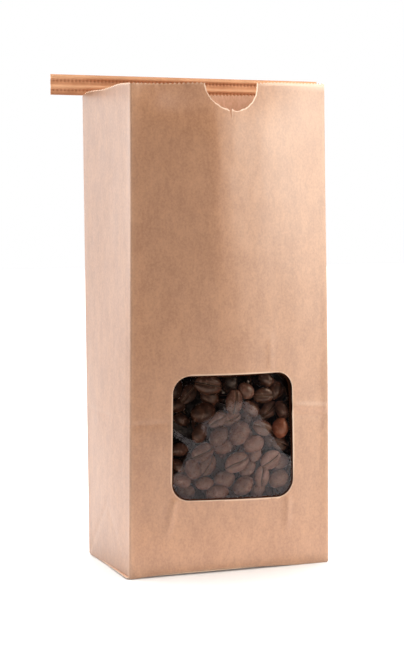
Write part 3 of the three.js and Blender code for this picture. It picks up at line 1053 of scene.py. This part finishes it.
def fill_window():
    draws = random.Random(BEANS_SEED)
    front, behind = new_heap(), new_heap()
    back_form, crease_form = bean_form(False), bean_form(True)
    listed = [(bean, False) for bean in BEANS_BACK_OUT] + [(bean, True) for bean in BEANS_CREASE_OUT]
    listed.sort(key=lambda entry: -entry[0][2])
    placed = []
    for (x, z, length, turn), creased in listed:
        half = half_sizes_of(length, draws)
        radius = (half[0] + half[1]) / 2
        depth = depth_behind(Vector((x, z)), radius, placed)
        placed.append((Vector((x, z)), radius, depth))
        tilt = math.radians(draws.uniform(-WINDOW_TILT, WINDOW_TILT))
        face = -math.pi / 2 if creased else math.pi / 2
        pose = Euler((face + tilt, -math.radians(turn), 0), "XYZ")
        # Below the film's crease the beans are painted paler, as painted light
        roast_and_painted_light = draws.uniform(*WINDOW_ROAST) + WINDOW_PAINTED_LIGHT * ease(0, 8, film_crease(x) - z)
        roast_and_painted_light = OWN_ROAST.get((x, z), roast_and_painted_light)
        y = film_behind(x, z, radius * 0.6) + half[2] + 0.3 + depth
        add_bean(front, crease_form if creased else back_form, half, pose, Vector((x, y, z)), roast_and_painted_light)
    middle_x, middle_z = WINDOW_MIDDLE
    for _ in range(BEHIND_TRIES):
        x = middle_x + draws.uniform(-BEHIND_ACROSS, BEHIND_ACROSS)
        z = middle_z + draws.uniform(-BEHIND_UP, BEHIND_UP)
        half = half_sizes_of(draws.uniform(*BEAN_LENGTH), draws)
        radius = (half[0] + half[1]) / 2
        depth = depth_behind(Vector((x, z)), radius, placed)
        pose = Euler([draws.uniform(-math.pi, math.pi) for _ in range(3)], "XYZ")
        form = crease_form if draws.random() < BEHIND_CREASED else back_form
        # Below the film's crease the beans are painted paler, as painted light
        roast_and_painted_light = draws.uniform(*BEHIND_PAINTED_SHADE_TONE) + BEHIND_PAINTED_LIGHT * ease(0, 8, film_crease(x) - z)
        if depth < BEHIND_DEPTH:
            placed.append((Vector((x, z)), radius, depth))
            y = film_behind(x, z, radius * 0.6) + half[0] + 0.3 + depth
            add_bean(behind, form, half, pose, Vector((x, y, z)), roast_and_painted_light)
    finish_heap(front, "beans_at_window", 2)
    finish_heap(behind, "beans_behind_window", 1)


def fill_top():
    """Beans on top of the heap, in layers that cover one another's gaps."""
    draws = random.Random(BEANS_SEED + 1)
    bm = new_heap()
    back_form, crease_form = bean_form(False), bean_form(True)
    for layer in range(TOP_LAYERS):
        placed = []
        for _ in range(TOP_TRIES):
            x = draws.uniform(*TOP_ACROSS)
            y = draws.uniform(*TOP_DEEP)
            half = half_sizes_of(draws.uniform(*BEAN_LENGTH), draws)
            radius = (half[0] + half[1]) / 2
            pitch = draws.uniform(-0.6, 0.6)
            roll = draws.uniform(-0.5, 0.5)
            yaw = draws.uniform(0, math.tau)
            turn = Euler([pitch, roll, yaw], "XYZ")
            creased = draws.random() < TOP_CREASED
            roast_and_painted_light = draws.uniform(*TOP_ROAST)
            room = half[0] + 0.5
            clear = abs(x) < front_half_width(FILL_HEIGHT) - room
            clear = clear and front_y(x, FILL_HEIGHT) + room < y < HALF_DEPTH - room
            if clear and depth_behind(Vector((x, y)), radius, placed) == 0:
                placed.append((Vector((x, y)), radius, 0))
                flip = Euler((math.pi, 0, 0)).to_matrix() if creased else Matrix.Identity(3)
                pose = (turn.to_matrix() @ flip).to_euler()
                hollow = TOP_HOLLOW + TOP_HOLLOW * noise.noise(Vector((x / 22, y / 22, 4.2)))
                spot = Vector((x, y, FILL_HEIGHT - hollow - half[2] - LAYER_DROP * layer))
                add_bean(bm, crease_form if creased else back_form, half, pose, spot, roast_and_painted_light)
    finish_heap(bm, "beans_on_top", 1)


def fill_core():
    """The mass behind the beans that show, dark with the painted shade given to deep beans."""
    bm = new_heap()
    bmesh.ops.create_cube(bm, size=2)
    bmesh.ops.subdivide_edges(bm, edges=bm.edges, cuts=CORE_CUTS, use_grid_fill=True)
    for corner in bm.verts:
        across, deep, up = corner.co
        z = lerp(2, FILL_HEIGHT - CORE_GAP, (up + 1) / 2)
        x = across * (front_half_width(z) - CORE_INSET)
        near = front_y(x, z) + CORE_GAP
        corner.co = Vector((x, lerp(near, HALF_DEPTH - CORE_INSET, (deep + 1) / 2), z))
    # Its tone is left at 0, which is the painted shade
    finish_heap(bm, "beans_core", 0)


# Studio
def aim(thing, place, target):
    thing.location = place
    thing.rotation_mode = "QUATERNION"
    thing.rotation_quaternion = (place - target).to_track_quat("Z", "Y")


def from_angle(azimuth, elevation, distance, target):
    turn, rise = math.radians(azimuth), math.radians(elevation)
    back = Vector((math.sin(turn) * math.cos(rise), -math.cos(turn) * math.cos(rise), math.sin(rise)))
    return target + back * distance


FLOOR_HALF = 4000
FLAG_X = (-500, 1600)
FLAG_Y = -370
FLAG_HEIGHT = 120
CAMERA_TARGET = Vector((-0.0029, 0, 0.1231))
CAMERA_AZIMUTH = -20.5
CAMERA_ELEVATION = 4.1
CAMERA_DISTANCE = 0.792
CAMERA_LENS = 85.45
CAMERA_SENSOR = 36
CAMERA_ROLL = -0.19
LAMP_TARGET = Vector((0, 0, 0.12))
GLOW_HEIGHT = 0.001
ROOM_TONES = ((0.11, 0.11, 0.11), (2.75, 2.75, 2.75))
# Softboxes: name, degrees round and up, distance, size, watts and colour
SOFTBOXES = [
    ("key", 56, 16, 1.0, (0.75, 0.65), 9.0, (1, 0.985, 0.9)),
    ("ceiling", 0, 82, 0.75, (0.6, 0.6), 7.0, (1, 1, 1)),
]
# Glows on the floor: name, size, place, watts, and whether each lights the bag and is mirrored in it
GLOWS = [
    ("front_glow", (0.32, 0.018), (0, -0.048), 0.036, True, False),
    ("gusset_glow", (0.8, 1.4), (-0.47, 0.68), 1.6, False, True),
]


def add_camera():
    camera = bpy.data.objects.new("camera", bpy.data.cameras.new("camera"))
    camera.data.lens = CAMERA_LENS
    camera.data.sensor_width = CAMERA_SENSOR
    bpy.context.collection.objects.link(camera)
    place = from_angle(CAMERA_AZIMUTH, CAMERA_ELEVATION, CAMERA_DISTANCE, CAMERA_TARGET)
    aim(camera, place, CAMERA_TARGET)
    camera.rotation_quaternion @= Quaternion((0, 0, 1), math.radians(CAMERA_ROLL))
    bpy.context.scene.camera = camera


def new_lamp(name, size, watts, colour=(1, 1, 1)):
    light = bpy.data.lights.new(name, "AREA")
    light.color = colour
    light.shape = "RECTANGLE"
    light.size, light.size_y = size
    light.energy = watts
    lamp = bpy.data.objects.new(name, light)
    bpy.context.collection.objects.link(lamp)
    return lamp


def add_softbox(name, azimuth, elevation, distance, size, watts, colour):
    box = new_lamp(name, size, watts, colour)
    aim(box, from_angle(azimuth, elevation, distance, LAMP_TARGET), LAMP_TARGET)


def add_glow(name, size, place, watts, lights, mirrors):
    """A bright patch of floor that lights the bag's foot, or is mirrored in its paper."""
    glow = new_lamp(name, size, watts)
    glow.visible_camera = False
    glow.visible_diffuse = lights
    glow.visible_glossy = mirrors
    middle = Vector((*place, GLOW_HEIGHT))
    aim(glow, middle, middle + Vector((0, 0, 1)))


def add_floor():
    bm = bmesh.new()
    bmesh.ops.create_grid(bm, x_segments=1, y_segments=1, size=FLOOR_HALF)
    floor = new_piece("floor", bm, [FLOOR_FINISH])


def add_flag():
    """A low dark card in front of the bag, seen only in reflections, so the film mirrors little floor."""
    bm = bmesh.new()
    bmesh.ops.create_grid(bm, x_segments=1, y_segments=1, size=1)
    for corner in bm.verts:
        x, up, _ = corner.co
        corner.co = Vector((lerp(*FLAG_X, (x + 1) / 2), FLAG_Y, FLAG_HEIGHT * (up + 1) / 2))
    flag = new_piece("flag", bm, [FLAG_FINISH])
    flag.visible_camera = False
    flag.visible_diffuse = False
    flag.visible_shadow = False
    flag.visible_transmission = False


def light_world():
    """A pale room, bright behind the bag and dim in front of it, that looks white from everywhere."""
    world = bpy.data.worlds.new("studio")
    bpy.context.scene.world = world
    world.use_nodes = True
    world.node_tree.nodes.clear()
    tree = Channel(world.node_tree)
    direction = tree.node("ShaderNodeTexCoord", output="Generated")
    depth = tree.node("ShaderNodeSeparateXYZ", None, {0: direction}, output="Y")
    colour = depth.between(-0.1, 0.5).mixed(*ROOM_TONES)
    seen = tree.node("ShaderNodeLightPath", output="Is Camera Ray")
    colour = seen.mixed(colour, (1, 1, 1))
    sky = tree.node("ShaderNodeBackground", None, {"Color": colour, "Strength": 1.0})
    output = world.node_tree.nodes.new("ShaderNodeOutputWorld")
    world.node_tree.links.new(sky.socket, output.inputs["Surface"])


# Without a seed, the noise that wrinkles the beans would differ from run to run
noise.seed_set(BEANS_SEED)
bpy.context.scene.view_settings.view_transform = "Standard"
add_camera()
light_world()
for softbox in SOFTBOXES:
    add_softbox(*softbox)
for glow in GLOWS:
    add_glow(*glow)
add_floor()
add_flag()
fold_paper()
stretch_film()
press_tie()
fill_core()
fill_window()
fill_top()
